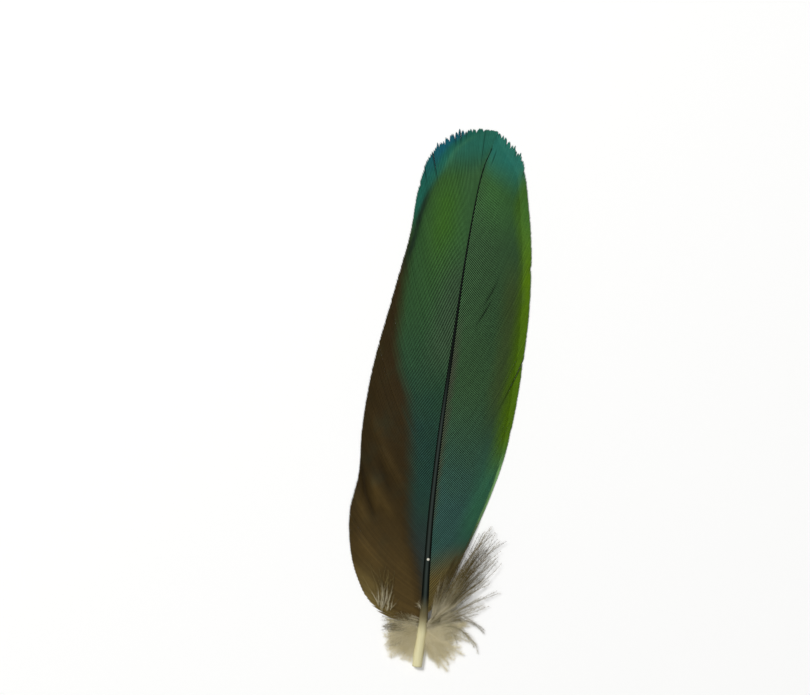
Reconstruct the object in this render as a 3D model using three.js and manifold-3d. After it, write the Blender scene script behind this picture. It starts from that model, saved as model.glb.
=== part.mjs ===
// Macaw wing feather lying on a flat surface with its coloured upper side showing.
// Pieces: the shaft, the inner and outer vane that grow from it, and the down at the base of each.
// Millimetres, +Z up, +Y from the quill end to the tip, origin under the middle of the feather.

import * as THREE from "three";
import { mergeVertices } from "three/addons/utils/BufferGeometryUtils.js";
import Module from "manifold-3d";

const wasm = await Module();
wasm.setup();

// Shaft, from the quill end to the end of the rachis: x, y, height of the centre line, half width
const shaftRows = [
  [1.0, -62.5, 1.12, 1.10],
  [1.0, -58.6, 1.20, 1.18],
  [1.1, -52.6, 1.70, 1.06],
  [0.9, -46.6, 2.30, 0.90],
  [0.4, -38.6, 3.10, 0.80],
  [-0.2, -24.6, 4.50, 0.69],
  [-0.3, -6.6, 5.40, 0.56],
  [0.1, 11.4, 5.50, 0.44],
  [0.5, 29.4, 4.50, 0.33],
  [1.2, 43.4, 3.00, 0.23],
  [2.1, 52.4, 1.90, 0.16],
  [3.6, 58.2, 1.20, 0.10],
];
const shaftSides = 12;
const shaftSteps = 44;
const shaftDepthRatio = 0.92;

// Barbs of each vane, from the base to the tip: y of the root on the shaft, x and y of the barb's end
const outerBarbs = [
  [-50.2, 4.8, -45.4],
  [-48.6, 8.6, -35.6],
  [-45.6, 12.8, -22.6],
  [-37.6, 15.6, -9.6],
  [-24.6, 16.8, 6.4],
  [-8.8, 16.8, 23.4],
  [4.2, 15.6, 36.4],
  [17.0, 13.4, 47.9],
  [30.5, 10.4, 56.7],
  [40.5, 7.4, 60.4],
  [50.5, 4.9, 62.2],
  [58.0, 4.2, 62.4],
];
const innerBarbs = [
  [-52.2, -8.4, -52.4],
  [-51.4, -13.4, -47.0],
  [-49.4, -17.2, -39.2],
  [-45.0, -18.9, -29.2],
  [-40.0, -17.9, -19.6],
  [-33.0, -18.4, -8.6],
  [-22.5, -17.6, 5.4],
  [-8.0, -14.9, 22.9],
  [4.5, -12.8, 36.9],
  [14.5, -12.3, 46.4],
  [25.0, -10.6, 54.9],
  [34.5, -6.6, 60.2],
  [43.0, -1.5, 62.3],
  [51.5, 2.4, 62.5],
  [58.0, 3.8, 62.5],
];
const barbBow = 0.11; // how far a barb's middle swings out to the side, as a share of its length
const barbSteps = 7;
const locksPerVane = 24;
const rowsPerLock = 3;
const vaneThickness = 0.5;
const vaneGap = 0.25; // clear of the shaft's side
const attachHeight = 0.35; // of the shaft's half depth, above its centre line
const camberPower = 1.7;
const flatShare = 1 / barbSteps; // of each barb, at its end, that lies on the surface
const notchAtBase = 1.4;
const notchAlong = 0.4;
const notchAtTip = 0.8;
const deepestNotch = 0.3; // as a share of the barb's length
const baseShare = 0.16; // of a vane's length that is loose at the base
const tipShare = 0.8; // where the frayed tip begins

// Down locks on each side: y of the root, heading from +X in degrees, length, turn along the length
const outerDownLocks = [
  [-52.4, 54, 27.0, 14],
  [-52.6, 42, 24.0, 18],
  [-52.9, 30, 19.4, 14],
  [-53.2, 40, 16.8, -88],
  [-53.6, 20, 14.0, -24],
  [-54.0, 6, 13.5, 24],
  [-54.4, -4, 11.0, -30],
  [-54.8, -12, 12.5, 26],
  [-55.2, -24, 10.0, 30],
  [-55.6, -34, 9.5, -16],
  [-56.1, -46, 7.5, 22],
];
const innerDownLocks = [
  [-54.6, 182, 9.0, -10],
  [-55.0, 190, 10.0, 16],
  [-55.4, 198, 9.0, -22],
  [-55.8, 206, 8.5, 14],
  [-56.2, 216, 7.5, -18],
  [-56.6, 226, 6.5, 20],
];
const downRootRadius = 0.8;
const downEndRadius = 0.14;
const downRootHeight = 1.55;
const downEndHeight = 0.3;
const downSides = 7;
const downSteps = 7;
const downGap = 0.3; // clear of the shaft's side

const halvings = 30; // of the shaft, to find where it passes a given y
const mergeDistance = 1e-4;

const shaftPath = curveThrough(shaftRows.map(([x, y, z]) => new THREE.Vector3(x, y, z)));
const shaftWidths = curveThrough(shaftRows.map(([x, y, z, half]) => new THREE.Vector3(half, 0, 0)));

function curveThrough(points) {
  return new THREE.CatmullRomCurve3(points, false, "catmullrom", 0.5);
}

// Centre, half width and side direction of the shaft at a share of its rows
function shaftAt(share) {
  const centre = shaftPath.getPoint(share);
  const ahead = shaftPath.getTangent(share);
  const sideways = new THREE.Vector3(ahead.y, -ahead.x, 0).normalize();
  return { centre, sideways, half: shaftWidths.getPoint(share).x };
}

// The shaft where it passes a given y, found by halving
function shaftAtY(y) {
  let low = 0;
  let high = 1;
  for (let step = 0; step < halvings; step++) {
    const middle = (low + high) / 2;
    if (shaftPath.getPoint(middle).y < y) {
      low = middle;
    } else {
      high = middle;
    }
  }
  return shaftAt((low + high) / 2);
}

// Moves every vertex of a unit geometry to where a function of its old place puts it
function reshape(geometry, place) {
  const position = geometry.attributes.position;
  const old = new THREE.Vector3();
  for (let i = 0; i < position.count; i++) {
    old.fromBufferAttribute(position, i);
    const moved = place(old);
    position.setXYZ(i, moved.x, moved.y, moved.z);
  }
  geometry.deleteAttribute("normal");
  geometry.deleteAttribute("uv");
  return mergeVertices(geometry, mergeDistance);
}

// The shaft is a round bar bent along its path, a little less deep than it is wide
function shaftGeometry() {
  const bar = new THREE.CylinderGeometry(1, 1, 1, shaftSides, shaftSteps);
  return reshape(bar, (old) => {
    const { centre, sideways, half } = shaftAt(THREE.MathUtils.clamp(old.y + 0.5, 0, 1));
    const moved = centre.clone().addScaledVector(sideways, old.x * half);
    moved.z += old.z * half * shaftDepthRatio;
    return moved;
  });
}

// How far the margin is drawn in between two locks, deeper at the loose base and the frayed tip
function notchDepth(share) {
  const base = 1 - THREE.MathUtils.smoothstep(share, 0, baseShare);
  const tip = THREE.MathUtils.smoothstep(share, tipShare, 1);
  return notchAlong + (notchAtBase - notchAlong) * base + (notchAtTip - notchAlong) * tip;
}

// A vane is a thin sheet of barbs, each bowed from its root on the shaft to its end on the margin
function vaneGeometry(barbs, side) {
  const rows = locksPerVane * rowsPerLock;
  const stations = curveThrough(barbs.map(([root, x, y]) => new THREE.Vector3(x, y, root)));
  const sheet = new THREE.BoxGeometry(1, 1, 1, barbSteps, rows, 1);
  return reshape(sheet, (old) => {
    const along = 0.5 + side * old.x;
    const share = old.y + 0.5;
    const station = stations.getPoint(share);
    const shaft = shaftAtY(station.z);
    const root = shaft.centre.clone().addScaledVector(shaft.sideways, side * (shaft.half + vaneGap));
    const end = new THREE.Vector3(station.x, station.y, root.z);
    const chord = end.clone().sub(root);
    const outwards = new THREE.Vector3(side * chord.y, -side * chord.x, 0);
    const bend = root.clone().addScaledVector(chord, 0.5).addScaledVector(outwards, barbBow);
    const betweenLocks = Math.round(share * rows) % rowsPerLock === 0;
    const reach = betweenLocks ? 1 - Math.min(deepestNotch, notchDepth(share) / chord.length()) : 1;
    const moved = new THREE.QuadraticBezierCurve3(root, bend, end).getPoint(along * reach);
    const rise = root.z + attachHeight * shaft.half - vaneThickness / 2;
    const camber = 1 - Math.min(1, along / (1 - flatShare)) ** camberPower;
    moved.z = rise * camber + (old.z + 0.5) * vaneThickness;
    return moved;
  });
}

// A down lock is a tapered strand that curls in plan and sinks towards the surface
function downLock([rootY, headingDegrees, length, turnDegrees], side) {
  const shaft = shaftAtY(rootY);
  const start = shaft.centre.clone();
  start.addScaledVector(shaft.sideways, side * (shaft.half + downGap + downRootRadius));
  const heading = THREE.MathUtils.degToRad(headingDegrees);
  const turn = THREE.MathUtils.degToRad(turnDegrees);
  const radius = length / turn;
  const strand = new THREE.CylinderGeometry(1, 1, 1, downSides, downSteps);
  return reshape(strand, (old) => {
    const share = old.y + 0.5;
    const angle = heading + turn * share;
    const thickness = THREE.MathUtils.lerp(downRootRadius, downEndRadius, share);
    const x = start.x + radius * (Math.sin(angle) - Math.sin(heading));
    const y = start.y - radius * (Math.cos(angle) - Math.cos(heading));
    const z = THREE.MathUtils.lerp(downRootHeight, downEndHeight, share);
    return new THREE.Vector3(
      x + Math.sin(angle) * thickness * old.x,
      y - Math.cos(angle) * thickness * old.x,
      z + thickness * old.z,
    );
  });
}

function solidFrom(geometry) {
  const vertProperties = new Float32Array(geometry.attributes.position.array);
  const triVerts = new Uint32Array(geometry.index.array);
  return new wasm.Manifold(new wasm.Mesh({ numProp: 3, vertProperties, triVerts }));
}

function geometryFrom(solid) {
  const { vertProperties, triVerts } = solid.getMesh();
  const geometry = new THREE.BufferGeometry();
  geometry.setAttribute("position", new THREE.BufferAttribute(vertProperties, 3));
  geometry.setIndex(new THREE.BufferAttribute(triVerts, 1));
  return geometry;
}

function downGeometry(locks, side) {
  const solids = locks.map((lock) => solidFrom(downLock(lock, side)));
  return geometryFrom(solids.reduce((joined, solid) => joined.add(solid)));
}

function piece(name, geometry, color, roughness) {
  const material = new THREE.MeshStandardMaterial({ color, roughness, metalness: 0 });
  const mesh = new THREE.Mesh(geometry, material);
  mesh.name = name;
  return mesh;
}

const inner = -1;
const outer = 1;

const feather = new THREE.Group();
feather.add(piece("shaft", shaftGeometry(), 0xb9ae86, 0.45));
feather.add(piece("inner_vane", vaneGeometry(innerBarbs, inner), 0x33512f, 0.6));
feather.add(piece("outer_vane", vaneGeometry(outerBarbs, outer), 0x33512f, 0.6));
feather.add(piece("inner_down", downGeometry(innerDownLocks, inner), 0x91866a, 0.9));
feather.add(piece("outer_down", downGeometry(outerDownLocks, outer), 0x6e6650, 0.9));

export default feather;
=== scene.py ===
import math

import bmesh
import bpy
import numpy as np
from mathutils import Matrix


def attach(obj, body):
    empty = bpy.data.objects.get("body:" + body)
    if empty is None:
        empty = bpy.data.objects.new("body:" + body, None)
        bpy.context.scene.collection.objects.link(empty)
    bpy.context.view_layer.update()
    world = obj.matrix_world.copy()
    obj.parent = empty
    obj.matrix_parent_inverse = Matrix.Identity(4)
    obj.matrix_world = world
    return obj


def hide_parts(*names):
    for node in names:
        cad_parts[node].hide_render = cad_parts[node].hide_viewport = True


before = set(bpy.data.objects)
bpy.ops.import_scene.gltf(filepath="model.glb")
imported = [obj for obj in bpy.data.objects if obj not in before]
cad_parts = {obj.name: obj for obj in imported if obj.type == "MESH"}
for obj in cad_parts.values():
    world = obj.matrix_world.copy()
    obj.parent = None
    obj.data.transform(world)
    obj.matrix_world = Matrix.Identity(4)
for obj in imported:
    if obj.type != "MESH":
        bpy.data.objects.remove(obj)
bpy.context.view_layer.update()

mm = 0.001  # the layout below is in millimetres, the scene in metres
inner, outer = -1, 1  # the two sides of the shaft

# shaft from the quill end to the end of the rachis: x, y, height of the centre line, half width
shaftRows = np.array([
    [1.0, -62.5, 1.12, 1.10],
    [1.0, -58.6, 1.20, 1.18],
    [1.1, -52.6, 1.70, 1.06],
    [0.9, -46.6, 2.30, 0.90],
    [0.4, -38.6, 3.10, 0.80],
    [-0.2, -24.6, 4.50, 0.69],
    [-0.3, -6.6, 5.40, 0.56],
    [0.1, 11.4, 5.50, 0.44],
    [0.5, 29.4, 4.50, 0.33],
    [1.2, 43.4, 3.00, 0.23],
    [2.1, 52.4, 1.90, 0.16],
    [3.6, 58.2, 1.20, 0.10],
])

# barbs from the base to the tip: y of the root on the shaft, x and y of the barb's end
outerBarbs = np.array([
    [-50.2, 4.8, -45.4],
    [-48.6, 8.6, -35.6],
    [-45.8, 12.8, -22.6],
    [-38.8, 15.6, -9.6],
    [-27.0, 16.8, 6.4],
    [-11.8, 16.8, 23.4],
    [1.6, 15.6, 36.4],
    [15.0, 13.4, 47.9],
    [29.5, 11.0, 56.7],
    [40.0, 7.5, 60.4],
    [50.5, 4.9, 62.2],
    [58.0, 4.2, 62.4],
])
innerBarbs = np.array([
    [-52.2, -8.4, -52.4],
    [-51.4, -13.4, -47.0],
    [-49.4, -17.2, -39.2],
    [-45.0, -18.9, -29.2],
    [-40.0, -17.9, -19.6],
    [-33.0, -18.4, -8.6],
    [-22.5, -17.6, 5.4],
    [-8.0, -14.9, 22.9],
    [4.5, -12.8, 36.9],
    [14.5, -12.3, 46.4],
    [25.0, -10.6, 54.9],
    [34.5, -6.6, 60.2],
    [43.0, -1.5, 62.3],
    [51.5, 2.4, 62.5],
    [58.0, 4.6, 62.4],
])


def ease(low, high, value):
    t = np.clip((value - low) / (high - low), 0, 1)
    return t * t * (3 - 2 * t)


def band(low, lowEnd, highEnd, high, value):
    # 0 outside low and high, 1 between the ends
    return ease(low, lowEnd, value) * (1 - ease(highEnd, high, value))


def amountAt(amounts, *places):
    # an amount that holds everywhere, and what each place adds to it
    total = amounts[0]
    for amount, place in zip(amounts[1:], places):
        total = total + amount * place
    return total


tiny = 1e-9  # stands in for a length of zero


def unit(vectors):
    return vectors / np.maximum(np.linalg.norm(vectors, axis=-1, keepdims=True), tiny)


def curveThrough(rows, share):
    # smooth curve through the rows, share 0 at the first and 1 at the last
    ends = np.vstack([2 * rows[0] - rows[1], rows, 2 * rows[-1] - rows[-2]])
    place = np.clip(share, 0, 1) * (len(rows) - 1)
    i = np.minimum(place.astype(int), len(rows) - 2)
    t = (place - i)[..., None]
    a, b, c, d = (ends[i + k] for k in range(4))
    return 0.5 * (2 * b + (c - a) * t + (2 * a - 5 * b + 4 * c - d) * t**2
                  + (3 * b - a - 3 * c + d) * t**3)


shaftPoints = 1500  # in the table that shaftAtY reads
shaftTable = curveThrough(shaftRows, np.linspace(0, 1, shaftPoints))
shaftAhead = unit(np.gradient(shaftTable[:, :2], axis=0))


def shaftAtY(y):
    # centre, half width and direction to the right of the shaft where it passes y
    x, z, half, aheadX, aheadY = (
        np.interp(y, shaftTable[:, 1], column)
        for column in (shaftTable[:, 0], shaftTable[:, 2], shaftTable[:, 3],
                       shaftAhead[:, 0], shaftAhead[:, 1]))
    return np.stack([x, y, z], -1), half, np.stack([aheadY, -aheadX], -1)


def linked(name, data):
    # a new object in the scene
    made = bpy.data.objects.new(name, data)
    bpy.context.scene.collection.objects.link(made)
    return made


# bake map of the barbs and the down
bake = {
    "aspect": 2,  # a cell is this much wider than tall
    "gap": 0.1,  # at a cell's edges and between its sides, as a share of one step or side
    "capRadius": 0.3,
    "capInset": 1.5,  # steps from a cell's right edge to the first end cap
    "capApart": 0.8,  # steps from there to the other end cap
}


def bakeCells(first, strands, total):
    # lower left corner and size of each strand's cell in the bake map
    columns = max(1, round(math.sqrt(total / bake["aspect"])))
    rows = math.ceil(total / columns)
    k = first + np.arange(strands)
    return np.stack([k % columns / columns, k // columns / rows], -1), (1 / columns, 1 / rows)


def joinLofts(name, parts):
    # one mesh of many closed strands; each part is rings (strand, step, side, xyz), its marks,
    # and whether its last rings are drawn together to points
    places, faces, bakeUvs, marks = [], [], [], {}
    gap = bake["gap"]
    total = sum(rings.shape[0] for rings, _, _ in parts)
    first, strand = 0, 0
    for rings, partMarks, pointed in parts:
        strands, steps, sides = rings.shape[:3]
        whole = steps - 1 if pointed else steps  # rings that stay open
        index = first + np.arange(strands * whole * sides).reshape(strands, whole, sides)
        nextSide = np.roll(index, -1, axis=2)
        quads = np.stack([index[:, :-1], nextSide[:, :-1], nextSide[:, 1:], index[:, 1:]], -1)
        faces += quads.reshape(-1, 4).tolist() + index[:, 0, ::-1].tolist()
        # bake map: a cell for each strand, its steps across and its sides stacked
        corner, (cellWide, cellTall) = bakeCells(strand, strands, total)
        wide, tall = cellWide / (steps + 1), cellTall / (sides + 2 * gap)
        u = corner[:, 0, None, None] + (gap + np.arange(steps - 1)[:, None]) * wide
        v = corner[:, 1, None, None] + (gap + np.arange(sides)[None, :]) * tall
        u, v = np.broadcast_arrays(u, v)
        right, top = u + wide, v + (1 - gap) * tall
        flat = np.stack([np.stack([u, u, right, right], -1), np.stack([v, top, top, v], -1)], -1)
        bakeUvs.append(flat[:, :whole - 1].reshape(-1, 2))
        turn = np.arange(sides) / sides * 2 * math.pi
        cap = np.stack([np.cos(turn) * bake["capRadius"] * wide,
                        np.sin(turn) * bake["capRadius"] * cellTall], -1)
        middle = (corner + [cellWide - bake["capInset"] * wide, cellTall / 2])[:, None, :]
        bakeUvs.append((middle + cap).reshape(-1, 2))
        rows = rings.reshape(-1, 3)
        if pointed:
            point = (first + index.size + np.arange(strands))[:, None]
            point = np.broadcast_to(point, (strands, sides))
            faces += np.stack([index[:, -1], nextSide[:, -1], point], -1).reshape(-1, 3).tolist()
            bakeUvs.append(flat[:, -1, :, :3].reshape(-1, 2))
            rows = np.concatenate([rings[:, :-1].reshape(-1, 3), rings[:, -1].mean(1)])
        else:
            faces += index[:, -1].tolist()
            bakeUvs.append((middle + [bake["capApart"] * wide, 0] + cap).reshape(-1, 2))
        for mark, values in partMarks.items():
            values = np.broadcast_to(values, (strands, steps, sides))
            if pointed:
                values = np.concatenate([values[:, :-1].ravel(), values[:, -1, 0]])
            marks.setdefault(mark, []).append(values.ravel())
        places.append(rows)
        first += len(rows)
        strand += strands
    mesh = bpy.data.meshes.new(name)
    mesh.from_pydata((np.concatenate(places) * mm).tolist(), [], faces)
    layer = mesh.uv_layers.new(name="OFBake")
    layer.data.foreach_set("uv", np.concatenate(bakeUvs).astype(np.float32).ravel())
    for mark, values in marks.items():
        attribute = mesh.attributes.new(mark, "FLOAT", "POINT")
        attribute.data.foreach_set("value", np.concatenate(values).astype(np.float32))
    mesh.update()
    print(name, total, "strands,", sum(len(face) - 2 for face in faces), "triangles")
    return linked(name, mesh)


def linear(hexColour):
    # colour socket value of a display colour
    values = [int(hexColour[k:k + 2], 16) / 255 for k in (0, 2, 4)]
    return [v / 12.92 if v <= 0.04045 else ((v + 0.055) / 1.055) ** 2.4 for v in values] + [1.0]


class Nodes:
    # short way to make and join the nodes of one tree
    def __init__(self, tree):
        self.tree = tree

    def add(self, kind, **settings):
        node = self.tree.nodes.new("ShaderNode" + kind)
        for key, value in settings.items():
            setattr(node, key, value)
        return node

    def put(self, source, target):
        if isinstance(source, (int, float, list)):
            target.default_value = source
        else:
            self.tree.links.new(source, target)

    def use(self, group, *values):
        # a node group placed in this tree with its own values; gives its outputs
        node = self.add("Group", node_tree=group)
        for value, socket in zip(values, node.inputs):
            self.put(value, socket)
        return node.outputs

    def mark(self, name):
        return self.add("Attribute", attribute_name=name).outputs["Fac"]

    def math(self, operation, a, b=0.0):
        node = self.add("Math", operation=operation)
        self.put(a, node.inputs[0])
        self.put(b, node.inputs[1])
        return node.outputs[0]

    def mix(self, factor, a, b):
        node = self.add("Mix", data_type="RGBA", clamp_factor=True)
        colours = [socket for socket in node.inputs if socket.type == "RGBA"]
        for value, socket in zip((factor, a, b), [node.inputs[0]] + colours):
            self.put(value, socket)
        return [socket for socket in node.outputs if socket.type == "RGBA"][0]

    def scale(self, colour, factor):
        node = self.add("VectorMath", operation="SCALE")
        self.put(colour, node.inputs[0])
        self.put(factor, node.inputs["Scale"])
        return node.outputs[0]

    def noise(self, scale, detail, stretch=(1, 1, 1)):
        mapping = self.add("Mapping")
        mapping.inputs["Scale"].default_value = stretch
        self.put(self.add("TexCoord").outputs["Object"], mapping.inputs["Vector"])
        node = self.add("TexNoise")
        self.put(scale, node.inputs["Scale"])
        self.put(detail, node.inputs["Detail"])
        self.put(mapping.outputs["Vector"], node.inputs["Vector"])
        return node.outputs["Fac"]

    def span(self, value, low, high):
        # a 0 to 1 value spread from low to high
        node = self.add("MapRange")
        self.put(low, node.inputs["To Min"])
        self.put(high, node.inputs["To Max"])
        self.put(value, node.inputs["Value"])
        return node.outputs["Result"]

    def ramp(self, value, low, high, least=0.0, most=1.0):
        # a soft step from least at low to most at high
        node = self.add("MapRange", interpolation_type="SMOOTHSTEP")
        for socket, setting in zip(("From Min", "From Max", "To Min", "To Max"),
                                   (low, high, least, most)):
            self.put(setting, node.inputs[socket])
        self.put(value, node.inputs["Value"])
        return node.outputs["Result"]


class Finish(Nodes):
    # the nodes of one material
    def __init__(self, name):
        self.material = bpy.data.materials.new(name)
        self.material.use_nodes = True
        super().__init__(self.material.node_tree)
        self.shader = self.tree.nodes["Principled BSDF"]

    def gloss(self, piece):
        roughness = self.use(unevenFinish, *piece["roughness"])["value"]
        self.put(roughness, self.shader.inputs["Roughness"])
        self.put(piece["specular"], self.shader.inputs["Specular IOR Level"])

    def bump(self, height, strength, distance):
        node = self.add("Bump")
        node.inputs["Strength"].default_value = strength
        node.inputs["Distance"].default_value = distance
        self.put(height, node.inputs["Height"])
        self.put(node.outputs["Normal"], self.shader.inputs["Normal"])


def newGroup(name, inputs, outputs):
    # a node group of plain values: its nodes, what is put in, and where its results go
    tree = bpy.data.node_groups.new(name, "ShaderNodeTree")
    for keys, way in ((inputs, "INPUT"), (outputs, "OUTPUT")):
        for key in keys:
            tree.interface.new_socket(name=key, in_out=way, socket_type="NodeSocketFloat")
    given = tree.nodes.new("NodeGroupInput").outputs
    return Nodes(tree), given, tree.nodes.new("NodeGroupOutput").inputs


def makeUneven():
    # noise between a least and a most value
    n, given, made = newGroup("uneven finish", ("scale", "detail", "least", "most"), ("value",))
    noise = n.noise(given["scale"], given["detail"])
    n.put(n.span(noise, given["least"], given["most"]), made["value"])
    return n.tree


unevenFinish = makeUneven()


# vanes

vane = {
    "innerCount": 200,  # barbs
    "outerCount": 150,
    "steps": 44,  # along a barb
    "rootDepth": 0.6,  # roots sit inside the shaft, as a share of its half width
    "attachHeight": 0.35,  # above the shaft's centre line, of its half width
    "sheet": 0.5,  # the barbs lie in the middle of a sheet this thick
    "camberPower": 1.7,
    "tipFlatter": 0.9,  # taken off that power at the tip, so that no crest is left past the shaft
    "tipFrom": 0.9,  # share of the vane where that begins
    "flatShare": 1 / 7,  # of each barb, at its end, that lies on the surface
    "endRoom": (0.6, 0.2),  # spacings before the first barb, and in all beyond one for each barb
    "lowest": 0.02,  # mm above the surface
    # a barb's section
    "overlap": 1.2,  # of the spacing that a barb's two webs cover
    "ridgeHeight": 0.075,
    "ridgeShare": 0.26,  # width of the ridge, of the spacing
    "ridgeOfWeb": 0.4,  # and at most this much of the web
    "webDrop": 0.06,  # of the lower web's edge under the next barb
    "webEdge": 0.25,  # height of the upper web's edge, of the ridge
    "keel": 0.08,
    "taper": 0.94,  # of the width, lost at the margin
    "thinner": 0.5,  # of the height, lost along the barb
    "fullSpacing": 0.4,  # mm; barbs closer than this are lower too
    "rootThin": (0.2, 0.08),  # height at the root, and the share of the barb where it is regained
    # what differs from barb to barb: everywhere, and more at the loose base or the frayed tip
    "looseBase": 0.10,  # share of the vane
    "frayedTip": (0.66, 0.8, 0.9, 1.0),  # shares where it begins, is full, still full, and over
    "unevenReach": (0.002, 0.03, 0.008),  # everywhere, base, tip
    "unevenHeight": 0.012,  # mm
    "heightRun": 0.3,  # share of the barb where that comes in
    "unevenLevel": 0.008,  # of the edges between colours
    "unevenTone": (0.14, 0.26),  # everywhere, base
    "tonedBase": 0.3,  # share of the vane
    "wander": (0.0003, 0.003),  # along the vane: everywhere, base
    "wanderFrom": 0.2,  # share of the barb
    "fray": (0.014, 0.022, 0.35),  # of a barb, narrowing to a point: everywhere, tip, base
    "lockSize": 3,  # barbs that cling together at the frayed tip
    "lockJitter": 0.8,
    "lockRun": 0.92,  # from this share of the barb outwards
    "lockPull": {inner: 0.3, outer: 0.45},
    "tipTuck": 0.03,  # the inner vane's last barbs lie this far under the outer vane's
    "tuckFrom": 0.93,  # share of the vane
    "tuckRun": (0.1, 0.4),  # shares of the barb
    "notch": {inner: 0.006, outer: 0.02},  # of a barb's length, below a split in the margin
    "notchFade": 0.014,  # how far along the vane a notch reaches
    # looks
    # ridge and web tones: partly the barbs' own darker webs, partly painted highlight and shade of
    # their relief
    "hatchDepth": {inner: 0.95, outer: 1.0},  # how much darker the webs are than the ridges, partly painted shade
    "ridgeTone": {inner: 1.7, outer: 2.45},
    "ridgeEdge": 0.82,  # of the way up to the ridge, where its tone begins
    "webTone": -0.95,
    "foldShade": (0.96, 1.4),  # painted shade and highlight of the folds: brightness between folds, and gained on each millimetre of height
    "splitTone": 0.2,  # painted shade: brightness beside a split
    "drift": (220, 3.0, 0.75, 1.25),  # noise in the zones: scale, detail, least and most
    "grain": (900, 3.0, 0.85, 1.15),
    "roughness": (420, 2.0, 0.5, 0.68),
    "specular": 0.06,
    "barbulePitch": 0.3,  # mm, of the fine ribs across a barb
    "barbuleBump": (0.25, 0.02),  # strength, and height in mm
    "seed": 11,
}

# splits: place along the vane, where along the barb each opens and closes, and its width
outerSplits = [
    (0.388, 0.62, 2.0, 0.0010),
    (0.598, 0.22, 0.46, 0.0004),
    (0.612, 0.30, 0.52, 0.0004),
    (0.886, 0.42, 0.75, 0.0010),
    (0.905, 0.84, 2.0, 0.0014),
    (0.926, 0.80, 2.0, 0.0014),
    (0.948, 0.82, 2.0, 0.0014),
    (0.214, 0.90, 2.0, 0.0008),
    (0.300, 0.93, 2.0, 0.0008),
    (0.520, 0.94, 2.0, 0.0008),
    (0.700, 0.93, 2.0, 0.0008),
    (0.770, 0.90, 2.0, 0.0010),
    (0.835, 0.88, 2.0, 0.0012),
]
innerSplits = [
    (0.913, 0.05, 1.3, 0.0010),
    (0.729, 0.72, 2.0, 0.0012),
    (0.805, 0.86, 2.0, 0.0020),
    (0.821, 0.84, 2.0, 0.0024),
    (0.838, 0.87, 2.0, 0.0020),
    (0.690, 0.88, 2.0, 0.0010),
    (0.660, 0.95, 2.0, 0.0008),
]
splitFade = 0.016  # how soon the barbs beside a split fall back into place
splitShade = 0.0026  # how far beside a split the webs get painted shade

# soft folds and hollows of the loose inner vane, in millimetres: x and y of both ends,
# half width, height
innerFolds = [
    (-17.6, -24.5, -14.6, -31.0, 1.1, 0.34),
    (-14.4, -20.6, -9.2, -28.4, 1.3, 0.42),
    (-12.0, -14.6, -7.4, -21.6, 1.2, 0.26),
    (-16.2, -6.0, -11.0, -17.0, 1.4, 0.22),
    (-15.6, -35.0, -10.4, -40.4, 1.4, 0.26),
    (-14.4, -21.4, -12.4, -27.0, 0.9, 0.34),
    (-17.5, -17.6, -15.6, -24.4, 0.5, -0.26),
    (-15.6, -24.4, -13.0, -29.4, 0.5, -0.24),
    (-13.2, -17.0, -10.0, -23.6, 0.7, -0.16),
]
foldEnds = (-0.3, 0.3, 0.7, 1.3)  # along a fold, where it begins, is full, still full, and over

# swing of a barb's middle, as a share of its length: place along the vane, and swing;
# the last barbs close over the shaft's end
barbBow = {inner: [[0.0, 0.45, 0.62, 0.86, 1.0], [0.12, 0.10, 0.03, 0.03, 0.0]],
           outer: [[0.0, 0.3, 0.86, 1.0], [0.10, 0.08, 0.08, 0.0]]}

finePlaces = 3000  # tried along a vane to space its barbs
besideMiddle = 0.02  # of a barb, on both sides of its middle
marginPoints = 600
narrowest = 1  # mm from shaft to margin; the share across is not measured on less
alongTip = (48, 58)  # y in mm where the share across gives way to the share along the barbs


def barbPoints(barbs, side, share, along):
    # points on barbs in millimetres, from the shaft (along 0) to the margin (along 1)
    station = curveThrough(barbs, share)
    centre, half, right = shaftAtY(station[..., 0])
    root = centre[..., :2] + side * right * (half * vane["rootDepth"])[..., None]
    chord = station[..., 1:] - root
    swing = side * np.stack([chord[..., 1], -chord[..., 0]], -1)
    bow = np.interp(share, *barbBow[side])
    bend = root + 0.5 * chord + bow[..., None] * swing
    t = along[..., None]
    plan = (1 - t) ** 2 * root + 2 * t * (1 - t) * bend + t**2 * station[..., 1:]
    rise = centre[..., 2] + vane["attachHeight"] * half - vane["sheet"] / 2
    power = vane["camberPower"] - vane["tipFlatter"] * ease(vane["tipFrom"], 1.0, share)
    camber = 1 - np.clip(along / (1 - vane["flatShare"]), 0, 1) ** power
    height = rise * camber + vane["sheet"] / 2
    return np.concatenate([plan, height[..., None]], -1)


def evenShares(barbs, side, count):
    # places along the vane that keep the barbs evenly apart halfway out
    fine = np.linspace(0, 1, finePlaces)
    back, middle, ahead = (barbPoints(barbs, side, fine, np.full(finePlaces, along))[:, :2]
                           for along in (0.5 - besideMiddle, 0.5, 0.5 + besideMiddle))
    step, along = np.diff(middle, axis=0), unit(ahead - back)[1:]
    apart = np.abs(step[:, 0] * along[:, 1] - step[:, 1] * along[:, 0])
    line = np.concatenate([[0], np.cumsum(apart)])
    before, over = vane["endRoom"]
    return np.interp((np.arange(count) + before) / (count + over) * line[-1], line, fine)


def splitOpening(opens, closes, along):
    widest = min(1.0, (opens + closes) / 2)
    return ease(opens, widest, along) * (1 - ease(widest, closes, along))


def splitShift(splits, share, along):
    shift = np.zeros(np.broadcast(share, along).shape)
    for place, opens, closes, width in splits:
        beside = np.sign(share - place) * np.exp(-np.abs(share - place) / splitFade)
        shift += width * beside * splitOpening(opens, closes, along)
    return shift


# painted shade on the webs beside each split, where the gap would look dark
def splitDark(splits, share, along):
    dark = np.zeros(np.broadcast(share, along).shape)
    for place, opens, closes, _ in splits:
        near = np.exp(-((share - place) / splitShade) ** 2)
        dark = np.maximum(dark, near * splitOpening(opens, closes, along) ** 0.5)
    return dark


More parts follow.
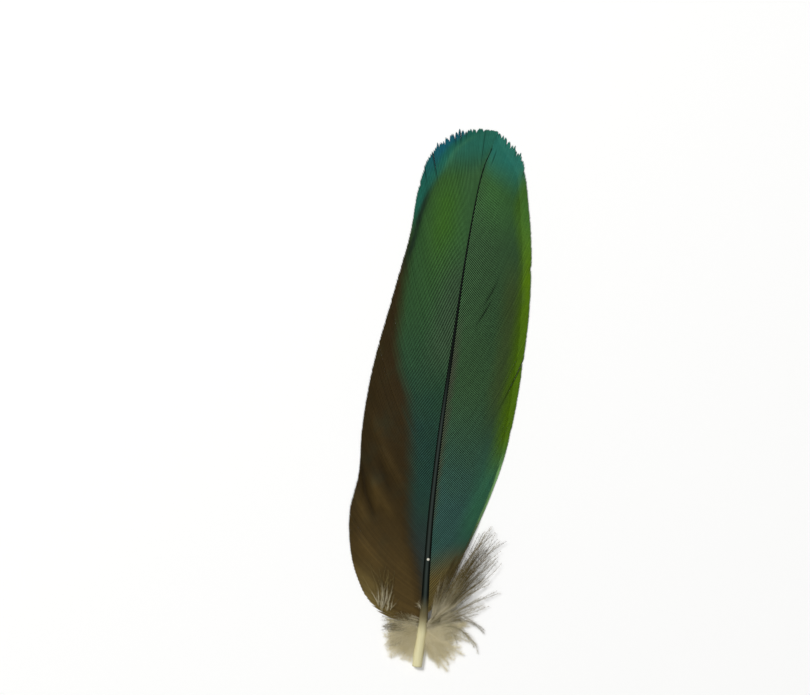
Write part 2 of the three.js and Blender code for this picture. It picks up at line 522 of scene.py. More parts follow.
def foldHeight(folds, x, y):
    height = np.zeros(np.shape(x))
    for startX, startY, endX, endY, width, high in folds:
        run = np.array([endX - startX, endY - startY])
        length = np.linalg.norm(run)
        alongX, alongY = run / length
        along = ((x - startX) * alongX + (y - startY) * alongY) / length
        away = (x - startX) * alongY - (y - startY) * alongX
        height += high * np.exp(-((away / width) ** 2)) * band(*foldEnds, along)
    return height


def shareAcross(barbs, x, y, along):
    # 0 at the shaft and 1 at the margin, level across the feather
    margin = curveThrough(barbs, np.linspace(0, 1, marginPoints))
    marginX = np.interp(y, np.maximum.accumulate(margin[:, 2]), margin[:, 1])
    shaftX = shaftAtY(y)[0][..., 0]
    width = marginX - shaftX
    level = (x - shaftX) / np.where(np.abs(width) < narrowest, narrowest, width)
    atTip = ease(*alongTip, y)
    return np.clip(level * (1 - atTip) + along * atTip, 0, 1)


def growVane(name, barbs, side, count, splits, folds, zones):
    rng = np.random.default_rng(vane["seed"] + side)
    share = evenShares(barbs, side, count)[:, None]
    edges = np.vstack([[[0.0]], (share[1:] + share[:-1]) / 2, [[1.0]]])
    toBelow, toAbove = share - edges[:-1], edges[1:] - share
    atBase, atTip = 1 - ease(0.0, vane["looseBase"], share), band(*vane["frayedTip"], share)
    reach = 1 + amountAt(vane["unevenReach"], atBase, atTip) * rng.normal(0, 1, (count, 1))
    # barbs just below a split in the margin are a little shorter
    for place, _, closes, _ in splits:
        if closes > 1:
            below = np.where(share < place, np.exp((share - place) / vane["notchFade"]), 0)
            reach = reach - vane["notch"][side] * below
    along = np.linspace(0, 1, vane["steps"])[None, :] * reach
    # loose barbs wander, and splits open between them
    wander = (rng.normal(0, 1, (count, 1)) * amountAt(vane["wander"], atBase)
              * ease(vane["wanderFrom"], 1.0, along))
    moved = splitShift(splits, share, along) + wander
    # near the tip neighbouring barbs cling together in small locks
    jitter = rng.uniform(-vane["lockJitter"], vane["lockJitter"], count)
    lock = np.floor((np.arange(count) + jitter) / vane["lockSize"]).astype(int)
    lock -= lock.min()
    middle = np.bincount(lock, share[:, 0]) / np.maximum(np.bincount(lock), 1)
    pull = vane["lockPull"][side] * atTip * (middle[lock][:, None] - share)
    moved = moved + pull * ease(vane["lockRun"], 1.0, along / reach)
    lift = rng.normal(0, vane["unevenHeight"], (count, 1)) * ease(0, vane["heightRun"], along)
    if side == inner:
        tuck = vane["tipTuck"] * ease(vane["tuckFrom"], 1.0, share)
        lift = lift - tuck * ease(*vane["tuckRun"], along)

    def placeBeside(offset):
        # -1 and 1 are halfway to the next barbs below and above
        return share + np.where(offset < 0, toBelow, toAbove) * offset

    def lineBeside(offset):
        points = barbPoints(barbs, side, placeBeside(offset) + moved, along)
        points[..., 2] += lift + foldHeight(folds, points[..., 0], points[..., 1])
        return points

    line = lineBeside(0.0)
    ahead, across = unit(np.gradient(line, axis=1)), lineBeside(1.0) - lineBeside(-1.0)
    up = unit(side * np.cross(ahead, across))
    apart = np.linalg.norm(np.cross(ahead, across), axis=-1)
    # each barb is a ridge with a web on both sides, narrowing to a point at the margin
    fray = amountAt(vane["fray"], atTip, atBase**2)
    taper = 1 - vane["taper"] * ease(1 - fray, 1.0, along / reach)
    web = vane["overlap"] * taper
    rootHeight, rootRun = vane["rootThin"]
    thin = ((1 - vane["thinner"] * np.clip(along, 0, 1))
            * np.minimum(1, apart / vane["fullSpacing"])
            * (rootHeight + (1 - rootHeight) * ease(0, rootRun, along)))
    ridge = vane["ridgeHeight"] * thin
    half = np.minimum(vane["ridgeShare"], vane["ridgeOfWeb"] * web)
    drop, keel = vane["webDrop"] * taper * thin, vane["keel"] * thin
    section = [  # aside and up, round the barb
        (-web, -drop),
        (0 * web, -keel),
        (web, vane["webEdge"] * ridge),
        (half, ridge),
        (-half, ridge),
    ]
    onRidge = np.array([0.0, 0.0, 0.0, 1.0, 1.0])
    under = np.array([0.0, 1.0, 0.0, 0.0, 0.0])
    rings = np.stack([lineBeside(aside) + up * h[..., None] for aside, h in section], 2)
    if side == inner:
        rings, section = rings[:, :, ::-1], section[::-1]
        onRidge, under = onRidge[::-1], under[::-1]
    rings[..., 2] = np.maximum(rings[..., 2], vane["lowest"])
    x, y = line[..., 0], line[..., 1]
    level = shareAcross(barbs, x, y, along) + rng.normal(0, vane["unevenLevel"], (count, 1))
    marks = {key: mask[..., None] for key, mask in zones(x, y, level).items()}
    # fold heights also give painted highlight on crests and painted shade in hollows
    marks["fold"] = foldHeight(folds, x, y)[..., None]
    # painted shade beside the splits
    dark = [splitDark(splits, placeBeside(aside), along) for aside, _ in section]
    marks["split"] = np.stack(dark, 2)
    barbLength = np.linalg.norm(np.diff(line, axis=1), axis=-1).sum(1)
    marks["barbLength"] = (along * barbLength[:, None])[..., None]
    loose = 1 - ease(0.0, vane["tonedBase"], share)[..., None]
    unlike = amountAt(vane["unevenTone"], loose) * (rng.random((count, 1, 1)) - 0.5)
    marks["tone"] = marks["tone"] * (1 + unlike)
    marks["onRidge"] = onRidge[None, None, :]
    marks["under"] = under[None, None, :]
    return joinLofts(name, [(rings, marks, False)])


def spot(x, y, centreX, centreY, wide, tall):
    return np.exp(-((x - centreX) / wide) ** 2 - ((y - centreY) / tall) ** 2)


# where the inner vane turns brown: y in millimetres, and the share across
innerBrownEdge = [[-50, -44, -38, -33, -24, -12, -1, 5, 11, 23, 33, 40],
                  [0.0, 0.05, 0.14, 0.21, 0.28, 0.34, 0.46, 0.63, 0.74, 0.85, 0.94, 1.05]]
# the crease beside the blue edge near the tip: y and x in millimetres
innerCrease = [[30, 33.6, 36.7, 40.4, 43.8, 46.9, 50.0,
                52.0, 54.0, 55.4, 57.7, 59.3, 61.1, 62.5],
               [-12.8, -11.9, -11.4, -10.9, -10.2, -9.4, -8.2,
                -7.2, -6.3, -5.8, -4.5, -2.8, -0.7, 2.5]]
# width of the lime edge of the outer vane: y in millimetres, and the share across
outerLimeWidth = [[-30, -22, -14, -4, 8, 22, 36, 46, 54],
                  [0.05, 0.13, 0.19, 0.20, 0.18, 0.17, 0.15, 0.13, 0.06]]


# How strongly each colour shows at a place: x and y are in millimetres, and u is the share across
# from the shaft to the margin. Hatch is how much the barbs stand out in painted highlight and
# shade, partly their own colour, and tone a last brightening.

def innerZones(x, y, u):
    brown = np.interp(y, *innerBrownEdge)
    pastCrease = np.interp(y, *innerCrease) - x
    margin = ease(brown - 0.12, brown + 0.12, u) * (1 - ease(34, 42, y))
    return {
        "low": 1 - ease(-16, 26, y),
        "besideShaft": (1 - ease(0.1, 0.5, u)) * band(0, 14, 28, 44, y),
        "upper": (1 - ease(0.15, 0.6, u)) * band(24, 40, 52, 60, y),
        "slate": (1 - ease(-40, -20, y)) * (1 - ease(0.2, 0.45, u)),
        "patch": spot(x, y, -5.4, 41, 3.8, 11),
        "tip": ease(50.8, 62.5, y + 3 * u),
        "margin": margin,
        "base": (1 - ease(-52, -18, y)) * ease(brown - 0.05, brown + 0.2, u),
        "frayed": (1 - ease(-51, -38, y)) * ease(0.45, 0.95, u),
        "edge": ease(-0.5 - 0.8 * ease(44, 52, y), 0.9, pastCrease) * ease(36, 44, y),
        "edgeBlue": ease(0.8, 2.8, pastCrease) * ease(47, 59, y) * (1 - ease(-4.0, -0.5, x)),
        # painted shade along the crease beside the blue edge
        "creaseShade": 0.95 * np.exp(-(((pastCrease - 0.1) / 0.7) ** 2)) * band(26, 34, 43, 51, y),
        # painted highlight along the upper part of the crease
        "rimHighlight": 0.22 * np.exp(-(((pastCrease + 0.4) / 0.6) ** 2)) * band(51, 54, 59, 62, y),
        "hatch": (1 - 0.8 * margin) * (1 - 0.5 * ease(28, 42, y)) * (1 - 0.9 * ease(50, 60, y))
                 * (1 - 0.55 * ease(0.35, 0.7, u) * ease(-6, 12, y))
                 * (0.3 + 0.7 * ease(-26, -17, y)),
        "tone": np.ones_like(y),
    }


def outerZones(x, y, u):
    wide = np.interp(y, *outerLimeWidth)
    start = 1 - (1.6 + 1.2 * ease(32, 46, y)) * wide
    margin = ease(start, 1 - 0.35 * wide, u) * band(-34, -20, 47, 56, y)
    smooth = 0.5 - 0.15 * ease(22, 36, y)  # past this share across, the hatch is faint
    faint = ease(smooth, smooth + 0.25, u)
    return {
        "low": 1 - ease(-30, 6, y),
        "groove": (1 - ease(0.03, 0.14, u)) * band(-34, -24, 8, 22, y),
        "patch": 0.8 * band(0.5, 0.74, 0.84, 0.95, u) * band(-10, 4, 24, 36, y),
        "upper": band(34, 50, 60, 66, y) * ease(-0.2, 0.3, u),
        "tip": ease(50.5, 62.5, y + 7 * u),
        "margin": margin,
        "marginTop": margin * ease(29, 46, y),
        "base": 1 - ease(-45, -35, y - 5 * u),
        "edge": ease(0.5, 0.9, u) * band(-37, -27, -20, -6, y),
        # painted highlight along the lower right margin
        "rimHighlight": 0.55 * ease(0.94, 0.985, u) * band(-34, -27, -17, -10, y),
        "hatch": (0.4 + 0.6 * ease(-32, -16, y)) * (1 - 0.95 * ease(42, 58, y))
                 * (1 - 0.7 * faint),
        "tone": 1 + 0.22 * faint * (band(20, 32, 40, 50, y) + 0.5 * (1 - ease(-16, -4, y)))
                + 0.16 * (1 - faint) * ease(-46, -30, y) * (1 - ease(-32, -16, y)),
    }


# laid over each other in this order
# the dark crease colour is painted shade, and the pale rim colours are painted highlights
innerColours = {"body": "2b4c29", "low": "1e3a31", "besideShaft": "344a33", "upper": "355934",
                "slate": "2a322f", "patch": "345c1e", "tip": "236050", "margin": "2f240e",
                "base": "4e3e1f", "frayed": "6c5e36", "edge": "1b5b4c", "edgeBlue": "115564",
                "creaseShade": "17281a", "rimHighlight": "4c8a5c"}
outerColours = {"body": "2d472b", "low": "29463f", "groove": "353b2c", "patch": "3a4a24",
                "upper": "33592e", "tip": "276c5e", "margin": "466407", "marginTop": "395f24",
                "base": "564a27", "edge": "2d5a42", "rimHighlight": "8ab46a"}
underside = "4a4a24"


barbMarks = ("onRidge", "hatch", "tone", "fold", "split", "barbLength")


def makeBarbShading():
    # ridges hold the colour and the webs between them are dark, partly the barbs' own colour and
    # partly painted highlight and shade of their relief; folds get painted highlight and shade,
    # splits painted shade; and no two barbs are quite alike
    inputs = barbMarks + ("webTone", "ridgeTone")
    n, given, made = newGroup("barb light and shade", inputs, ("shade", "ribs"))
    ribs = n.ramp(given["onRidge"], vane["ridgeEdge"], 1.0, given["webTone"], given["ridgeTone"])
    ribbed = n.math("MULTIPLY", given["hatch"], ribs)
    shade = n.math("MULTIPLY", n.math("ADD", ribbed, 1.0), given["tone"])
    # painted highlight on fold crests and painted shade in their hollows
    betweenFolds, onFolds = vane["foldShade"]
    folded = n.math("ADD", n.math("MULTIPLY", given["fold"], onFolds), betweenFolds)
    shade = n.math("MULTIPLY", shade, folded)
    # painted shade beside a split
    shade = n.math("MULTIPLY", shade, n.span(given["split"], 1.0, vane["splitTone"]))
    n.put(shade, made["shade"])
    # barbules are fine ribs across each barb
    turns = n.math("MULTIPLY", given["barbLength"], 2 * math.pi / vane["barbulePitch"])
    n.put(n.math("SINE", turns), made["ribs"])
    return n.tree


barbShading = makeBarbShading()


def paintVane(name, colours, side):
    n = Finish(name)
    colour = linear(colours["body"])
    drift = n.use(unevenFinish, *vane["drift"])["value"]  # zones run unevenly into each other
    for key in list(colours)[1:]:
        colour = n.mix(n.math("MULTIPLY", n.mark(key), drift), colour, linear(colours[key]))
    depth = vane["hatchDepth"][side]
    barb = n.use(barbShading, *[n.mark(key) for key in barbMarks],
                 depth * vane["webTone"], depth * vane["ridgeTone"][side])
    grain = n.use(unevenFinish, *vane["grain"])["value"]
    shade = n.math("MULTIPLY", barb["shade"], grain)
    colour = n.mix(n.mark("under"), n.scale(colour, shade), linear(underside))
    n.put(colour, n.shader.inputs["Base Color"])
    n.gloss(vane)
    strength, height = vane["barbuleBump"]
    n.bump(barb["ribs"], strength, height * mm)
    return n.material


for side, node, barbs, count, splits, folds, zones, colours in (
        (inner, "inner_vane", innerBarbs, vane["innerCount"], innerSplits, innerFolds,
         innerZones, innerColours),
        (outer, "outer_vane", outerBarbs, vane["outerCount"], outerSplits, [],
         outerZones, outerColours)):
    piece = growVane(node + "_barbs", barbs, side, count, splits, folds, zones)
    piece.data.materials.append(paintVane(node.replace("_", " "), colours, side))
    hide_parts(node)
    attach(piece, "root")


# shaft

shaft = {
    "sides": 28,
    "steps": 110,
    "depth": 0.92,  # of its width
    "squareness": 2.5,  # of the rachis; the quill is round
    "rachisFrom": (-54, -44),  # y in mm, where the quill gives way to the rachis
    "slimmer": 0.25,  # share of its width that the rachis loses towards the tip
    "slimFrom": (-10, 35),  # y in mm, where it loses that
    "thinnest": 0.15,  # half width near the tip
    "tipFrom": (55, 58),  # y in mm, where even that is lost
    "groove": 0.3,  # along the underside, of the half width
    "grooveWidth": 0.35,
    "boreRadius": 0.5,  # of the quill's open end
    "boreDepth": 0.02,
    "crownHighlight": 0.42,  # half width of the painted highlight along the top, of the half width
    "crownPower": 4,  # the higher, the sharper the highlight's edge
    "crownFade": (10, -8),  # y in mm, where the painted highlight fades towards the tip
    "darker": {"turning": (-55.5, -50.0), "rachis": (-51.5, -45.5)},  # y in mm, where each begins
    "speck": (0.49, -37.4, 3.9),  # mm, a pale speck on the upper side
    "speckRadius": 0.36,
    "speckCore": 0.6,  # of that radius, within which the speck is full
    "streaks": (500, 4.0, (6, 0.35, 6)),  # noise: scale, detail, stretch
    "streakBump": (0.3, 0.06),  # strength, and height in mm
    "roughness": (800, 2.0, 0.42, 0.6),  # noise: scale, detail, least and most
    "specular": 0.03,
}


def growShaft(name):
    bm = bmesh.new()
    crownHighlight = bm.verts.layers.float.new("crownHighlight")
    bmesh.ops.create_circle(bm, segments=shaft["sides"], radius=1)
    edges = list(bm.edges)
    for _ in range(shaft["steps"]):
        made = bmesh.ops.extrude_edge_only(bm, edges=edges)["geom"]
        edges = [item for item in made if isinstance(item, bmesh.types.BMEdge)]
        verts = [item for item in made if isinstance(item, bmesh.types.BMVert)]
        bmesh.ops.translate(bm, verts=verts, vec=(0, 0, 1 / shaft["steps"]))
    bmesh.ops.holes_fill(bm, edges=[edge for edge in bm.edges if edge.is_boundary], sides=0)
    # only the two end faces have more than four corners, and the quill's is the lower one
    ends = [face for face in bm.faces if len(face.verts) > 4]
    end = [face for face in ends if face.calc_center_median().z < 0.5]
    bmesh.ops.inset_region(bm, faces=end, thickness=1 - shaft["boreRadius"], use_even_offset=False)
    inside = bmesh.ops.extrude_face_region(bm, geom=end)["geom"]
    bmesh.ops.delete(bm, geom=end, context="FACES")
    deep = [item for item in inside if isinstance(item, bmesh.types.BMVert)]
    bmesh.ops.translate(bm, verts=deep, vec=(0, 0, shaft["boreDepth"]))
    bmesh.ops.recalc_face_normals(bm, faces=bm.faces)
    for vert in bm.verts:
        row = curveThrough(shaftRows, np.array(min(max(vert.co.z, 0), 1)))
        centre, half, right = shaftAtY(row[1])
        half = half * (1 - shaft["slimmer"] * float(ease(*shaft["slimFrom"], row[1])))
        half = max(half, shaft["thinnest"] * float(1 - ease(*shaft["tipFrom"], row[1])))
        rachis = float(ease(*shaft["rachisFrom"], row[1]))
        angle = math.atan2(vert.co.y, vert.co.x)
        power = 2 + (shaft["squareness"] - 2) * rachis
        c, s = math.cos(angle), math.sin(angle)
        radius = math.hypot(vert.co.x, vert.co.y)
        radius = radius / (abs(c) ** power + abs(s) ** power) ** (1 / power)
        a, h = radius * c, radius * s * shaft["depth"]
        if h < 0:
            h += shaft["groove"] * rachis * math.exp(-((a / shaft["grooveWidth"]) ** 2))
        # the middle of the upper side is marked for a painted highlight
        vert[crownHighlight] = float(h > 0) * math.exp(-((a / shaft["crownHighlight"]) ** shaft["crownPower"]))
        plan = centre[:2] + right * a * half
        vert.co = (plan[0] * mm, plan[1] * mm, (centre[2] + h * half) * mm)
    for face in bm.faces:
        face.smooth = len(face.verts) <= 4
    mesh = bpy.data.meshes.new(name)
    bm.to_mesh(mesh)
    bm.free()
    print(name, len(mesh.polygons), "faces")
    return linked(name, mesh)


# the paler middle of the rachis's upper side is a painted highlight
shaftColours = {"quill": "e6e0b6", "quillStreak": "c6bd90", "turning": "7d7350",
                "turningStreak": "5a5238", "rachis": "060a07", "rachisStreak": "101611",
                "crownHighlight": "303834", "speck": "dcd8c8"}


def paintShaft(name):
    n = Finish(name)
    place = n.add("TexCoord").outputs["Object"]
    axes = n.add("SeparateXYZ")
    n.put(place, axes.inputs[0])
    streaks = n.noise(*shaft["streaks"])
    colour = n.mix(streaks, linear(shaftColours["quill"]), linear(shaftColours["quillStreak"]))
    for stage, (low, high) in shaft["darker"].items():
        darken = n.ramp(axes.outputs["Y"], low * mm, high * mm)
        horn = n.mix(streaks, linear(shaftColours[stage]), linear(shaftColours[stage + "Streak"]))
        # a painted highlight along the top of the rachis
        if stage == "rachis":
            ahead, behind = shaft["crownFade"]
            fade = n.ramp(axes.outputs["Y"], ahead * mm, behind * mm)
            crownHighlight = n.math("MULTIPLY", n.mark("crownHighlight"), fade)
            horn = n.mix(crownHighlight, horn, linear(shaftColours["crownHighlight"]))
        colour = n.mix(darken, colour, horn)
    away = n.add("VectorMath", operation="DISTANCE")
    away.inputs[1].default_value = [axis * mm for axis in shaft["speck"]]
    n.put(place, away.inputs[0])
    near = n.ramp(away.outputs["Value"], shaft["speckRadius"] * mm,
                  shaft["speckCore"] * shaft["speckRadius"] * mm)
    colour = n.mix(near, colour, linear(shaftColours["speck"]))
    n.put(colour, n.shader.inputs["Base Color"])
    n.gloss(shaft)
    strength, height = shaft["streakBump"]
    n.bump(streaks, strength, height * mm)
    return n.material


piece = growShaft("shaft_horn")
piece.data.materials.append(paintShaft("shaft horn"))
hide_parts("shaft")
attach(piece, "root")


# down

down = {
    "steps": 20,
    "sides": 4,
    "rootRadius": 0.036,
    "endRadius": 0.014,
    "hairThicker": 0.5,  # added to a hair's radius, as a share
    "rootInside": 0.6,  # of the shaft's half width
    "freeHeight": 0.6,  # of roots that lie away from the shaft
    "endHeight": (0.2, 0.5),  # mm, and added for each millimetre of height gained
    "liftSpread": (0.5, 1.1),  # of the height gained on the way
    "liftPower": 0.8,  # below 1, strands are highest before their middle
    "rootSpread": 0.4,  # mm along the shaft
    "headingSpread": 4,  # degrees, of hairs
    "fluffSpread": 4,  # fluff strays this much more
    "shortest": 0.5,  # of a lock's length
    "turnSpread": 12,  # degrees
    "turnPower": 1.2,  # above 1, strands turn late
    "swayDegrees": 9,
    "swayTurns": (0.8, 2.2),
    # barbules
    "fluffSpacing": 0.028,  # of the barbules along a fluffy strand
    "hairSpacing": 0.08,  # and along a hair
    "barbuleLength": 2.9,
    "barbuleShortest": 0.4,  # of that length
    "barbuleEnds": 0.35,  # length near a strand's ends, as a share
    "barbulePeak": 0.7,  # below 1, they are longest before a strand's middle
    "barbuleRun": (0.03, 0.99),  # shares of a strand between which they grow
    "barbuleRadius": 0.014,
    "barbuleSides": 3,
    "barbuleRoll": 0.6,  # radians, out of the strand's own plane
    "barbuleLean": (25, 80),  # degrees from the strand
    "hairLean": 0.15,  # taken off that on hairs, as a share
    "hairShorter": 0.45,  # taken off the length on hairs, as a share
    "lowest": 0.04,  # mm above the surface
    # wisps
    "wispThickness": 1.1,
    "wispBarbules": 0.5,  # number and length, as a share of what other strands have
    "wispSpread": 2.0,  # wisps stray this much more
    # looks
    "paleRoot": 0.58,  # share of their darkness that hairs lose a little way out
    "paleRun": (0.0, 0.1, 0.25, 0.55),  # where that begins, is full, still full, and over
    "toneNoise": (400, 2.0, -0.3, 0.3),  # scale, detail, least and most
    "roughness": (700, 2.0, 0.6, 0.85),
    "specular": 0.15,
    "seed": 5,
}

# locks of strands: y of the root, how far from the shaft it is, heading from +X in degrees, length,
# turn, height gained, how dark and hair-like they are (1) or pale and fluffy (0), number of strands
outerDown = [
    (-51.8, 1.3, 85, 15.0, -26, 2.4, 1.0, 9),
    (-52.0, 1.6, 81, 21.0, -15, 2.2, 1.0, 12),
    (-52.2, 1.9, 78, 23.5, -14, 1.9, 1.0, 14),
    (-52.4, 2.2, 75, 27.0, -13, 1.6, 1.0, 15),
    (-52.4, 2.5, 71, 28.5, -12, 1.5, 1.0, 15),
    (-52.6, 2.4, 67, 24.5, -14, 1.5, 1.0, 12),
    (-52.8, 2.2, 60, 22.5, -12, 1.5, 0.95, 8),
    (-52.6, 0, 45, 23.0, 12, 1.6, 0.95, 4),
    (-52.8, 0, 40, 22.0, 6, 1.2, 0.9, 4),
    (-53.0, 0, 36, 20.0, 2, 1.0, 0.85, 5),
    (-53.2, 0, 30, 18.5, -4, 0.9, 0.8, 4),
    (-53.2, 0, 42, 16.5, -88, 1.0, 0.8, 5),
    (-53.4, 0, 34, 17.0, -110, 0.9, 0.6, 4),
    (-53.4, 0, 22, 9.0, 12, 0.9, 0.85, 6),
    (-53.0, 0, 50, 7.0, -14, 1.9, 1.0, 6),
    (-53.3, 0, 38, 8.0, -10, 1.6, 0.9, 6),
    (-53.6, 0, 20, 13.0, -24, 0.8, 0.3, 5),
    (-54.0, 0, 6, 11.5, 24, 0.8, 0.1, 7),
    (-54.4, 0, -4, 11.0, -30, 0.8, 0.0, 8),
    (-54.8, 0, -12, 11.0, 26, 0.6, 0.0, 8),
    (-55.2, 0, -24, 10.0, 30, 0.6, 0.0, 8),
    (-55.6, 0, -34, 9.0, -16, 0.5, 0.0, 8),
    (-56.0, 0, -46, 7.5, 22, 0.4, 0.0, 6),
]
innerDown = [
    (-48.8, 0, 131, 5.0, -20, 1.6, 0.9, 2),
    (-52.0, 0, 164, 7.0, 12, 2.2, 0.95, 6),
    (-53.0, 0, 184, 9.5, 12, 0.9, 0.9, 10),
    (-53.6, 0, 196, 9.0, -8, 0.9, 0.9, 10),
    (-54.2, 0, 212, 8.0, -10, 0.7, 0.85, 8),
    (-53.8, 0, 176, 9.0, 14, 1.2, 0.2, 7),
    (-54.4, 0, 184, 8.5, -10, 1.0, 0.1, 9),
    (-55.0, 0, 192, 9.0, 16, 0.8, 0.0, 10),
    (-55.4, 0, 200, 8.5, -22, 0.8, 0.0, 10),
    (-55.8, 0, 210, 8.0, 14, 0.6, 0.0, 9),
    (-56.2, 0, 220, 7.0, -18, 0.5, 0.0, 8),
    (-56.6, 0, 232, 6.0, 20, 0.4, 0.0, 5),
]
# wisps standing at the lower margin of the inner vane, in the same way
innerWisps = [
    (-49.6, 9.9, 104, 9.0, -14, 1.9, 1.0, 4),
    (-49.4, 9.2, 98, 12.0, -8, 2.2, 1.0, 5),
    (-49.6, 8.7, 92, 11.0, 12, 2.4, 1.0, 5),
    (-49.8, 8.0, 84, 12.4, 16, 2.4, 1.0, 4),
    (-50.2, 7.2, 76, 7.0, 24, 2.0, 0.95, 3),
    (-50.0, 8.9, 112, 4.5, -30, 1.6, 0.7, 6),
    (-50.4, 8.0, 70, 4.5, 30, 1.6, 0.7, 6),
]


def tubes(path, radius, sides):
    # round rings on paths (strand, step, xyz)
    ahead = unit(np.gradient(path, axis=1))
    across = unit(np.cross([0.0, 0.0, 1.0], ahead))
    up = np.cross(ahead, across)
    turn = np.arange(sides) / sides * 2 * math.pi
    around = (across[:, :, None, :] * np.cos(turn)[:, None]
              + up[:, :, None, :] * np.sin(turn)[:, None])
    return path[:, :, None, :] + around * radius[..., None, None]


def strandPaths(locks, spread, side, rng):
    rows = np.array([lock[:-1] for lock in locks for _ in range(lock[-1])], float)
    rootY, aside, heading, length, turn, lift, hairy = rows.T[:, :, None]
    count, steps = len(rows), down["steps"]
    each = (count, 1)
    rootY = rootY + rng.normal(0, down["rootSpread"], each)
    stray = (down["fluffSpread"] - (down["fluffSpread"] - 1) * hairy) * spread
    heading = heading + rng.normal(0, down["headingSpread"], each) * stray
    length = length * rng.uniform(down["shortest"], 1.0, each)
    turn = turn + rng.normal(0, down["turnSpread"], each) * spread
    share = np.linspace(0, 1, steps)[None, :]
    sway = np.sin(2 * math.pi * (rng.uniform(*down["swayTurns"], each) * share + rng.random(each)))
    angle = np.radians(heading + turn * share ** down["turnPower"]
                       + rng.normal(0, down["swayDegrees"], each) * sway * share)
    centre, half, right = shaftAtY(rootY[:, 0])
    path = np.zeros((count, steps, 3))
    path[:, 1:, 0] = np.cumsum(np.cos(angle[:, 1:]) * length / (steps - 1), 1)
    path[:, 1:, 1] = np.cumsum(np.sin(angle[:, 1:]) * length / (steps - 1), 1)
    outwards = side * right * (down["rootInside"] * half[:, None] + aside)
    path[..., :2] += (centre[:, :2] + outwards)[:, None, :]
    rootHeight = np.where(aside > 0, down["freeHeight"], centre[:, 2:3])
    path[..., 2] = (rootHeight * (1 - share) + amountAt(down["endHeight"], lift) * share
                    + lift * np.sin(math.pi * share ** down["liftPower"])
                    * rng.uniform(*down["liftSpread"], each))
    return path, length[:, 0], hairy[:, 0]


def hairDark(hairy, along):
    # hairs are paler a little way out from the shaft
    return hairy * (1 - down["paleRoot"] * band(*down["paleRun"], along))


def growDown(name, locks, wisps, side):
    rng = np.random.default_rng(down["seed"] + side)
    rows = locks + wisps
    isWisp = np.repeat(np.arange(len(rows)) >= len(locks), [row[-1] for row in rows])
    fewer, spread = (np.where(isWisp, down[key], 1) for key in ("wispBarbules", "wispSpread"))
    path, lengths, hairy = strandPaths(rows, spread[:, None], side, rng)
    count, steps = path.shape[:2]
    share = np.linspace(0, 1, steps)[None, :]
    radius = down["rootRadius"] + (down["endRadius"] - down["rootRadius"]) * share
    radius = radius * (1 + down["hairThicker"] * hairy[:, None])
    radius = radius * np.where(isWisp, down["wispThickness"], 1)[:, None]
    tone = rng.random(count)
    strands = (tubes(path, radius, down["sides"]),
               {"strandTone": tone[:, None, None],
                "dark": hairDark(hairy[:, None], share)[..., None]}, True)
    # barbules stand out on both sides of each strand
    spacing = down["fluffSpacing"] + (down["hairSpacing"] - down["fluffSpacing"]) * hairy
    number = (lengths / spacing * fewer).astype(int)
    owner = np.repeat(np.arange(count), number)
    place = rng.uniform(*down["barbuleRun"], len(owner))
    low = np.minimum((place * (steps - 1)).astype(int), steps - 2)
    part = (place * (steps - 1) - low)[:, None]
    start = path[owner, low] * (1 - part) + path[owner, low + 1] * part
    ahead = unit(path[owner, low + 1] - path[owner, low])
    across = unit(np.cross([0.0, 0.0, 1.0], ahead))
    each = (len(owner), 1)
    roll = rng.normal(0, down["barbuleRoll"], each)
    out = across * np.cos(roll) + np.cross(ahead, across) * np.sin(roll)
    out = out * rng.choice([-1, 1], each)
    lean = np.radians(rng.uniform(*down["barbuleLean"], each))
    lean = lean * (1 - down["hairLean"] * hairy[owner, None])
    ends = down["barbuleEnds"]
    longest = ends + (1 - ends) * np.sin(math.pi * place ** down["barbulePeak"])
    length = (down["barbuleLength"] * rng.uniform(down["barbuleShortest"], 1.0, each)
              * longest[:, None] * (1 - down["hairShorter"] * hairy[owner, None])
              * fewer[owner, None])
    grown = np.linspace(0, 1, 2)[None, :, None]
    direction = (ahead * np.cos(lean) + out * np.sin(lean))[:, None, :]
    hairs = start[:, None, :] + length[:, None, :] * direction * grown
    hairs[..., 2] = np.maximum(hairs[..., 2], down["lowest"])
    thickness = np.full(hairs.shape[:2], down["barbuleRadius"])
    barbules = (tubes(hairs, thickness, down["barbuleSides"]),
                {"strandTone": tone[owner, None, None],
                 "dark": hairDark(hairy[owner], place)[:, None, None]}, True)
    return joinLofts(name, [strands, barbules])


downColours = {"fluff": "f3ebd0", "fluffDusk": "d8cda4", "hair": "7c6e44", "hairDusk": "3e341a"}


def paintDown(name):
    n = Finish(name)
    unlike = n.use(unevenFinish, *down["toneNoise"])["value"]
    tone = n.math("ADD", n.mark("strandTone"), unlike)
    fluff = n.mix(tone, linear(downColours["fluff"]), linear(downColours["fluffDusk"]))
    hair = n.mix(tone, linear(downColours["hair"]), linear(downColours["hairDusk"]))
    n.put(n.mix(n.mark("dark"), fluff, hair), n.shader.inputs["Base Color"])
    n.gloss(down)
    return n.material


downMaterial = paintDown("down")
for side, node, locks, wisps in (
        (inner, "inner_down", innerDown, innerWisps),
        (outer, "outer_down", outerDown, [])):
    piece = growDown(node + "_barbs", locks, wisps, side)
    piece.data.materials.append(downMaterial)
    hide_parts(node)
    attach(piece, "root")


# floor, light and camera

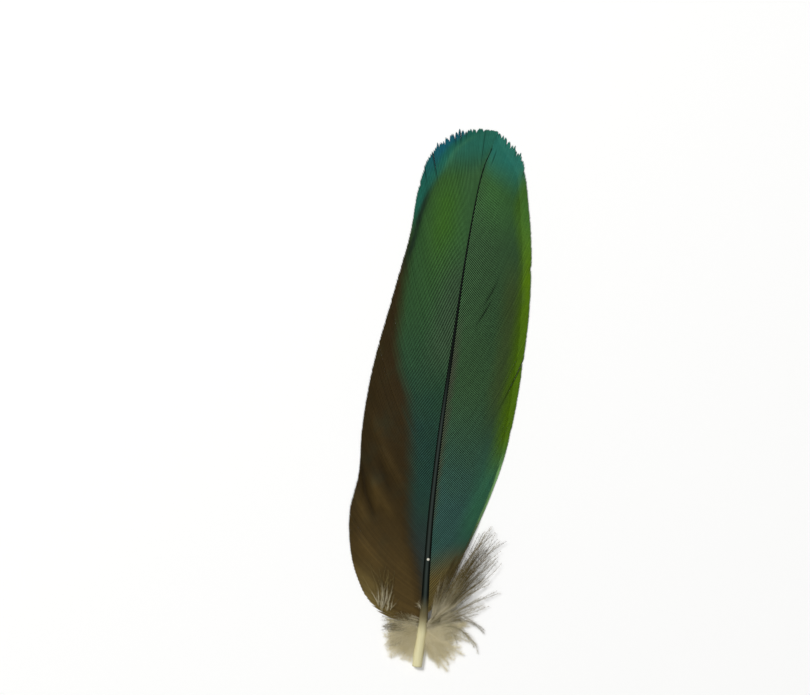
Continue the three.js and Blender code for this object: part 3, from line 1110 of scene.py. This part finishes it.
studio = {
    "floorSize": 6.0,
    "floorColour": "fdfdfc",
    "floorRoughness": 0.8,
    "floorSpecular": 0.1,
    "world": 0.24,
    "worldColour": "ffffff",
    "keyPlace": (-0.80, 0.68, 1.60),
    "keySize": 0.5,
    "keyWatts": 24.0,
    "topPlace": (0.20, -0.14, 1.70),
    "topSize": 1.6,
    "topWatts": 8.7,
    "mmPerPixel": 0.23,
    "imageWidth": 810,
    "lean": 7.0,  # degrees, of the feather in the picture
    "middle": (-10.7, 10.2, 2.5),  # mm, at the picture's middle
    "lens": 100,
    "nearest": 0.01,  # metres from the camera
}


def setStage():
    bm = bmesh.new()
    bmesh.ops.create_grid(bm, x_segments=1, y_segments=1, size=studio["floorSize"] / 2)
    mesh = bpy.data.meshes.new("floor")
    bm.to_mesh(mesh)
    bm.free()
    floor = linked("floor", mesh)
    n = Finish("pale floor")
    n.shader.inputs["Base Color"].default_value = linear(studio["floorColour"])
    n.shader.inputs["Roughness"].default_value = studio["floorRoughness"]
    n.shader.inputs["Specular IOR Level"].default_value = studio["floorSpecular"]
    mesh.materials.append(n.material)


def addLight(name, place, size, watts):
    light = bpy.data.lights.new(name, "AREA")
    light.size = size
    light.energy = watts
    lamp = linked(name, light)
    lamp.location = place
    lamp.rotation_euler = (-lamp.location).to_track_quat("-Z", "Y").to_euler()


def setLight():
    scene = bpy.context.scene
    world = bpy.data.worlds.new("studio")
    world.use_nodes = True
    background = world.node_tree.nodes["Background"]
    background.inputs["Strength"].default_value = studio["world"]
    background.inputs["Color"].default_value = linear(studio["worldColour"])
    scene.world = world
    scene.view_settings.view_transform = "Standard"
    for name in ("key", "top"):
        addLight(name, studio[name + "Place"], studio[name + "Size"], studio[name + "Watts"])


def setCamera():
    camera = bpy.data.cameras.new("camera")
    camera.lens = studio["lens"]
    camera.clip_start = studio["nearest"]
    wide = studio["imageWidth"] * studio["mmPerPixel"]
    x, y, z = studio["middle"]
    view = linked("camera", camera)
    view.location = (x * mm, y * mm, (z + wide * camera.lens / camera.sensor_width) * mm)
    view.rotation_euler = (0, 0, math.radians(studio["lean"]))
    bpy.context.scene.camera = view


setStage()
setLight()
setCamera()
print("floor, light and camera set")
